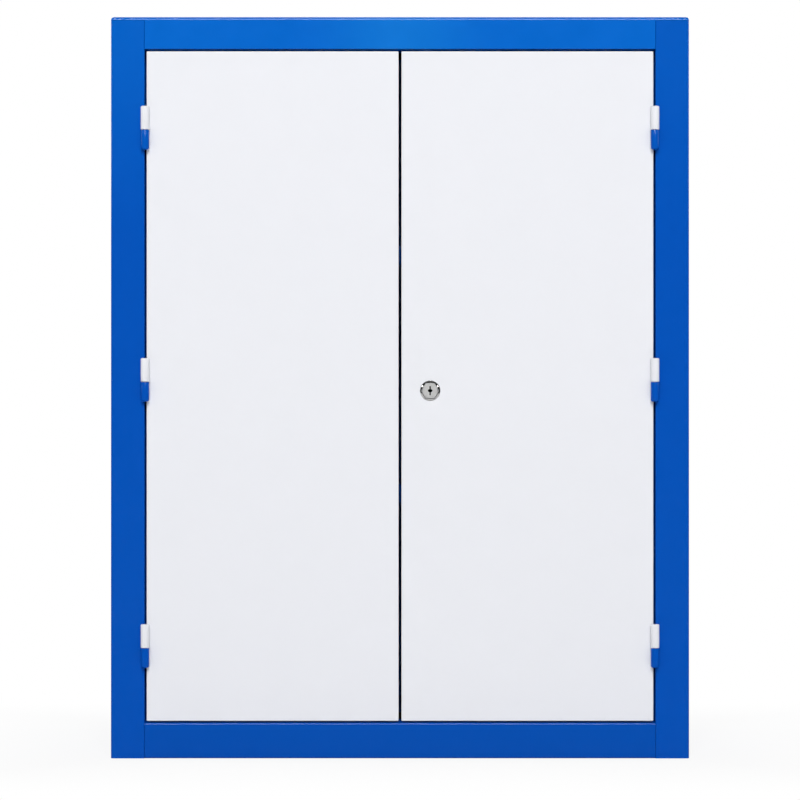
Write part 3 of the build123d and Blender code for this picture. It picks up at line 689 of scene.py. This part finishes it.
def door_spot_welds(side, welds, finish):
    """Spots on the stiffener's flanges, and on the feet of the guides or of the keeper."""
    form = bmesh.new()
    low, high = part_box(f"{side}_door_stiffener")
    places = [
        Vector((x, low.y + SHEET, z))
        for x in (low.x + STIFFENER_FLANGE / 2, high.x - STIFFENER_FLANGE / 2)
        for z in spread(low.z + STRIP_SPOTS_IN, high.z - STRIP_SPOTS_IN, welds.spot_pitch)
    ]
    if side == "right":
        for low, high in solid_boxes("rod_guides"):
            places += [
                Vector((x, low.y + GUIDE_SHEET, (low.z + high.z) / 2))
                for x in (low.x + GUIDE_FOOT / 2, high.x - GUIDE_FOOT / 2)
            ]
    else:
        low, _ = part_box("left_door_keeper")
        places += [
            Vector((low.x + KEEPER_FOOT / 2, low.y + GUIDE_SHEET, low.z + rise))
            for rise in KEEPER_SPOT_HEIGHTS
        ]
    for place in places:
        spot_weld(form, place, BACK, welds.spot_radius, welds.spot_height)
    add_piece(form, f"{side}_door_spot_welds", finish, f"{side}_door")


def carcass_spot_welds(welds, finish):
    """Spots on the rear flanges, and on the feet of the two door stops."""
    form = bmesh.new()
    high = Vector(cad_box[1])
    side_x = high.x - REAR_FLANGE / 2
    marks = [
        (Vector((x, high.y, z)), BACK)
        for x in (-side_x, side_x)
        for z in spread(REAR_SPOTS_FROM_BASE, high.z - REAR_SPOTS_FROM_TOP, welds.spot_pitch)
    ]
    marks += [
        (Vector((x, high.y, high.z - TOP_ROW_DROP)), BACK)
        for x in spread(TOP_ROW_IN - side_x, side_x - TOP_ROW_IN, welds.spot_pitch)
    ]
    for stop, upward in DOOR_STOPS.items():
        low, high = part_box(stop)
        foot_z = low.z + SHEET if upward > 0 else high.z - SHEET
        marks += [
            (Vector((x, high.y - STOP_FOOT / 2 - SHEET, foot_z)), UP * upward)
            for x in spread(low.x + STRIP_SPOTS_IN, high.x - STRIP_SPOTS_IN, welds.spot_pitch)
        ]
    for place, normal in marks:
        spot_weld(form, place, normal, welds.spot_radius, welds.spot_height)
    add_piece(form, "carcass_spot_welds", finish, "carcass")


def stop_pads(finish):
    """Foam pads on the two door stops, where the doors' meeting edges come to rest; being near black, they
    also stand in as painted shade down the gap between the doors.
    """
    form = bmesh.new()
    for stop, upward in DOOR_STOPS.items():
        low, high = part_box(stop)
        middle_y = high.y - SHEET + PAD_SUNK - PAD_SIZE.y / 2
        middle_z = high.z - PAD_SIZE.z / 2 if upward > 0 else low.z + PAD_SIZE.z / 2
        pad = bmesh.ops.create_cube(form, size=1.0)["verts"]
        place = Matrix.Translation((0, middle_y, middle_z))
        bmesh.ops.transform(form, matrix=place @ Matrix.Diagonal((*PAD_SIZE, 1)), verts=pad)
        bmesh.ops.bevel(
            form, geom=edges_at(pad), affect="EDGES", offset=PAD_EDGE, segments=3, profile=0.5, material=-1,
        )
    add_piece(form, "stop_pads", finish, "carcass")


def rail_tacks(welds, finish):
    """Short beads that tack both edges of the shelf rails to the side walls."""
    form = bmesh.new()
    for name in SHELF_RAILS:
        low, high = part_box(name)
        wall_x = low.x if high.x < 0 else high.x
        for y in (low.y, high.y):
            for z in spread(low.z + TACKS_IN, high.z - TACKS_IN, TACK_PITCH):
                middle = Vector((wall_x, y, z))
                half = UP * TACK_LENGTH / 2
                weld_bead(form, middle - half, middle + half, welds.bead_radius, welds.ripple)
    add_piece(form, "shelf_rail_tacks", finish, "carcass")


def lip_seams(side, welds, finish):
    """Beads where the lips at the back of a door meet at its corners."""
    form = bmesh.new()
    low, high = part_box(f"{side}_door_panel")
    for x in (low.x + DOOR_SIDE_LIP, high.x - DOOR_SIDE_LIP):
        for edge_z, inward in ((low.z, 1), (high.z, -1)):
            start_z = edge_z + inward * SEAM_START_IN
            end_z = edge_z + inward * (DOOR_SIDE_LIP - SEAM_END_IN)
            weld_bead(
                form, Vector((x, high.y, start_z)), Vector((x, high.y, end_z)),
                welds.bead_radius * SEAM_BEAD_SHARE, welds.ripple,
            )
    add_piece(form, f"{side}_door_lip_seams", finish, f"{side}_door")


def hinge_welds(names, body, piece_name, welds, finish):
    """Beads that join the hinge leaves to the edge of the door, or to the frame."""
    form = bmesh.new()
    for name in names:
        low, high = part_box(name)
        on_frame = "frame" in name
        side = 1 if low.x > 0 else -1
        outward = side if on_frame else -side
        leaf_x = (low.x + high.x) / 2 + outward * LEAF_FROM_AXIS
        foot_in, top_in = FRAME_LEAF_ENDS if on_frame else DOOR_LEAF_ENDS
        weld_bead(
            form, Vector((leaf_x, high.y, low.z + foot_in)), Vector((leaf_x, high.y, high.z - top_in)),
            welds.bead_radius, welds.ripple,
        )
    add_piece(form, piece_name, finish, body)


# Operators


def settings(context):
    scene = context.scene
    return scene.cabinet_paint, scene.cabinet_metal, scene.cabinet_welds, scene.cabinet_stage


class CABINET_OT_coat_frame(bpy.types.Operator):
    """Coat the carcass, the top panel and the frame's hinge halves in blue, with light painted onto the
    carcass's top and the top rail's middle
    """

    bl_idname = "cabinet.coat_frame"
    bl_label = "Coat the frame"

    def execute(self, context):
        paint, _, welds, _ = settings(context)
        coat(BLUE_NODES, powder_coat(
            "frame_coat", paint.frame_blue, paint, other=paint.high_lit_blue,
            # painted light: lighter towards the top, more so on the left
            where=lambda x, y, z: z.above(PAINTED_GLOW_FROM, PAINTED_GLOW_OVER)
            * (PAINTED_GLOW_MIDDLE - x * PAINTED_GLOW_PER_METRE),
        ))
        coat(["top_panel"], powder_coat(
            "top_rail_coat", paint.lit_rail_blue, paint, grain=0.05, other=paint.rail_highlight_blue,
            # painted highlight: lighter in the middle of the top rail
            where=lambda x, y, z: 1.0 - x.size().above(0.0, RAIL_HIGHLIGHT_OVER),
        ))
        coat(["bottom_panel"], powder_coat("bottom_rail_coat", paint.sill_blue, paint))
        soften(FRAME_KNUCKLES, welds.edge)
        return {"FINISHED"}


class CABINET_OT_coat_doors(bpy.types.Operator):
    """Coat the doors, their stiffeners, guides and hinge halves in light grey"""

    bl_idname = "cabinet.coat_doors"
    bl_label = "Coat the doors"

    def execute(self, context):
        paint, _, welds, _ = settings(context)
        coat(DOOR_NODES, powder_coat("door_coat", paint.door_grey, paint, grain=0.006))
        soften(DOOR_KNUCKLES, welds.edge * 2)
        return {"FINISHED"}


class CABINET_OT_plate_metal(bpy.types.Operator):
    """Plate the lock, the rods and the small hardware, and finish the rubber buffers"""

    bl_idname = "cabinet.plate_metal"
    bl_label = "Plate the metal"

    def execute(self, context):
        _, metal, welds, _ = settings(context)
        coat(ZINC_NODES, zinc_plate("zinc_plate", metal))
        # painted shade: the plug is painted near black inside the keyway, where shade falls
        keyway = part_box("lock_plug")[0].y + KEYWAY_DARK_FROM
        coat(["lock_rosette"], nickel_plate(
            # painted shade round the flats of the head
            "bright_nickel", metal, metal.bright_roughness, brushing=0.04, dark=shade_beside_head(),
        ))
        coat(["lock_housing"], nickel_plate(
            "satin_nickel", metal, metal.satin_roughness, brushing=0.14,
        ))
        coat(["lock_plug"], nickel_plate(
            "plug_nickel", metal, metal.satin_roughness, brushing=0.14,
            dark=lambda x, y, z: y.above(keyway, KEYWAY_DARK_OVER),
        ))
        coat(RUBBER_NODES, soft_rubber("buffer_rubber", metal.rubber, specular=0.35))
        # near-black foam pads, which also stand in as painted shade in the gap between the doors
        stop_pads(soft_rubber("pad_foam_and_gap_shade", metal.foam_and_gap_shade, specular=0.1))
        soften([*ZINC_NODES, *RUBBER_NODES, "lock_rosette", "lock_housing", "lock_plug"], welds.edge)
        return {"FINISHED"}


class CABINET_OT_weld_marks(bpy.types.Operator):
    """Add the spot welds and the weld beads of the sheet work"""

    bl_idname = "cabinet.weld_marks"
    bl_label = "Weld marks"

    def execute(self, context):
        _, _, welds, _ = settings(context)
        blue = bpy.data.materials["frame_coat"]
        grey = bpy.data.materials["door_coat"]
        carcass_spot_welds(welds, blue)
        rail_tacks(welds, blue)
        hinge_welds(FRAME_KNUCKLES, "carcass", "frame_hinge_welds", welds, blue)
        for side in SIDES:
            door_spot_welds(side, welds, grey)
            lip_seams(side, welds, grey)
            leaves = [name for name in DOOR_KNUCKLES if name.startswith(side)]
            hinge_welds(leaves, f"{side}_door", f"{side}_door_hinge_welds", welds, grey)
        return {"FINISHED"}


class CABINET_OT_stage(bpy.types.Operator):
    """Set up the floor, the surroundings, the lamps and the camera"""

    bl_idname = "cabinet.stage"
    bl_label = "Stage"

    def execute(self, context):
        _, _, _, stage = settings(context)
        lay_floor(stage)
        surround(stage)
        softbox(
            "key_softbox", place=(0, -7.1, 5.0), target=(0, 0, 0.5), size=(3.0, 3.3), power=stage.key_power,
        )
        softbox(
            "rear_softbox", place=(0, 4.6, 3.2), target=(0, 0, 0.6), size=(4.0, 2.4), power=stage.back_power,
        )
        for side, sign in SIDES.items():
            softbox(
                f"{side}_softbox", place=(sign * 4.5, 1.2, 2.2), target=(0, 0.1, 0.5),
                size=(2.4, 2.4), power=stage.fill_power,
            )
            softbox(
                f"{side}_lamp", place=(sign * 3.6, -2.95, 2.58), target=(0, 0, 0.5),
                size=(0.4, 0.4), power=stage.side_power,
            )
        card = softbox(
            "floor_card", place=(0, -0.85, 0.08), target=(0, -0.989, 1.07),
            size=(3.4, 1.0), power=stage.card_power,
        )
        card.visible_camera = card.visible_diffuse = False
        place_camera(context, stage)
        context.scene.view_settings.view_transform = "Standard"
        return {"FINISHED"}


# Studio


def lay_floor(stage):
    """White floor, pure white away from the cabinet, with its shadow close by and dark below it."""
    form = bmesh.new()
    bmesh.ops.create_grid(form, x_segments=1, y_segments=1, size=30)
    mesh = bpy.data.meshes.new("studio_floor")
    form.to_mesh(mesh)
    form.free()
    floor = bpy.data.objects.new("studio_floor", mesh)
    bpy.context.scene.collection.objects.link(floor)
    tree = Nodes(bpy.data.materials.new("floor_white"))
    x, y, _ = tree.split(tree.place())
    outside = (x.size() - HALF_WIDTH).larger(y.size() - HALF_DEPTH)
    whiteness = WHITE_BESIDE + outside.above(0.0, SHADOW_REACH) * (1.0 - WHITE_BESIDE)
    under = outside.above(-20 * MM, 10 * MM)
    plain = tree.node("ShaderNodeBsdfDiffuse", None, {"Color": (0.8, 0.8, 0.8), "Roughness": 0.0})
    shown = stage.front_room + camera_path(tree) * (1.0 - stage.front_room)
    ground = tree.node("ShaderNodeEmission", None, {"Color": (1.0, 1.0, 1.0), "Strength": shown})
    mixed = tree.node(
        "ShaderNodeMixShader", None, {0: lit_path(tree) * (whiteness * under), 1: plain, 2: ground},
    )
    tree.node("ShaderNodeOutputMaterial", None, {"Surface": mixed})
    mesh.materials.append(tree.owner)


def camera_path(tree):
    """1 for rays from the camera."""
    return Term(tree, tree.node("ShaderNodeLightPath").socket.node.outputs["Is Camera Ray"])


def lit_path(tree):
    """1 for rays that show the surroundings: from the camera, off gloss, or through glass."""
    path = tree.node("ShaderNodeLightPath").socket.node.outputs
    camera, glossy, through = (
        Term(tree, path[name]) for name in ("Is Camera Ray", "Is Glossy Ray", "Is Transmission Ray")
    )
    return camera.larger(glossy).larger(through)


def surround(stage):
    """White surroundings and an even room light. Gloss shows a dim room under a dark ceiling."""
    world = bpy.data.worlds.new("studio")
    bpy.context.scene.world = world
    tree = Nodes(world)
    direction = tree.node("ShaderNodeTexCoord", output=0)
    _, y, z = tree.split(direction)
    camera = camera_path(tree)
    behind = y.above(-0.1, 0.5)
    high = z.above(0.1, 0.25)
    overhead = z.above(0.6, 0.35)
    room_front = stage.front_room + high * (stage.ceiling - stage.front_room)
    gloss = room_front + behind * (stage.back_room - room_front) * (1.0 - overhead * 0.8)
    shown = camera + (1.0 - camera) * gloss
    visible = tree.node("ShaderNodeBackground", None, {"Color": (1.0, 1.0, 1.0), "Strength": shown})
    room = tree.node("ShaderNodeBackground", None, {"Color": (1.0, 1.0, 1.0), "Strength": stage.ambient})
    mixed = tree.node("ShaderNodeMixShader", None, {0: lit_path(tree), 1: room, 2: visible})
    tree.node("ShaderNodeOutputWorld", None, {"Surface": mixed})


def softbox(name, place, target, size, power):
    """Rectangular lamp turned to its target."""
    lamp = bpy.data.lights.new(name, "AREA")
    lamp.shape = "RECTANGLE"
    lamp.size, lamp.size_y = size
    lamp.energy = power
    holder = bpy.data.objects.new(name, lamp)
    holder.location = place
    holder.rotation_euler = (Vector(target) - Vector(place)).to_track_quat("-Z", "Y").to_euler()
    bpy.context.scene.collection.objects.link(holder)
    return holder


def place_camera(context, stage):
    """Level camera straight in front of the doors."""
    lens = bpy.data.cameras.new("camera")
    lens.lens = stage.lens
    lens.sensor_width = 36
    lens.clip_end = 100
    camera = bpy.data.objects.new("camera", lens)
    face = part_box("left_door_panel")[0].y
    camera.location = (0, face - stage.camera_distance, stage.camera_height)
    camera.rotation_euler = (math.radians(90), 0, 0)
    context.scene.collection.objects.link(camera)
    context.scene.camera = camera


# Add-on


class CABINET_PT_panel(bpy.types.Panel):
    """Settings and steps of the cabinet"""

    bl_idname = "CABINET_PT_panel"
    bl_label = "Tool cabinet"
    bl_space_type = "VIEW_3D"
    bl_region_type = "UI"
    bl_category = "Cabinet"

    def draw(self, context):
        for title, group in zip(("Paint", "Metal", "Welds", "Stage"), settings(context)):
            box = self.layout.box()
            box.label(text=title)
            for key in group.bl_rna.properties.keys():
                if key not in ("name", "rna_type"):
                    box.prop(group, key)
        for step in STEPS:
            self.layout.operator(step.bl_idname)


GROUPS = {
    "cabinet_paint": CabinetPaint,
    "cabinet_metal": CabinetMetal,
    "cabinet_welds": CabinetWelds,
    "cabinet_stage": CabinetStage,
}
STEPS = [
    CABINET_OT_coat_frame,
    CABINET_OT_coat_doors,
    CABINET_OT_plate_metal,
    CABINET_OT_weld_marks,
    CABINET_OT_stage,
]


def register():
    for group in [*GROUPS.values(), *STEPS, CABINET_PT_panel]:
        bpy.utils.register_class(group)
    for key, group in GROUPS.items():
        setattr(bpy.types.Scene, key, PointerProperty(type=group))


def unregister():
    for key in GROUPS:
        delattr(bpy.types.Scene, key)
    for group in reversed([*GROUPS.values(), *STEPS, CABINET_PT_panel]):
        bpy.utils.unregister_class(group)


def main():
    register()
    bpy.ops.cabinet.coat_frame()
    bpy.ops.cabinet.coat_doors()
    bpy.ops.cabinet.plate_metal()
    bpy.ops.cabinet.weld_marks()
    bpy.ops.cabinet.stage()


if __name__ == "__main__":
    main()
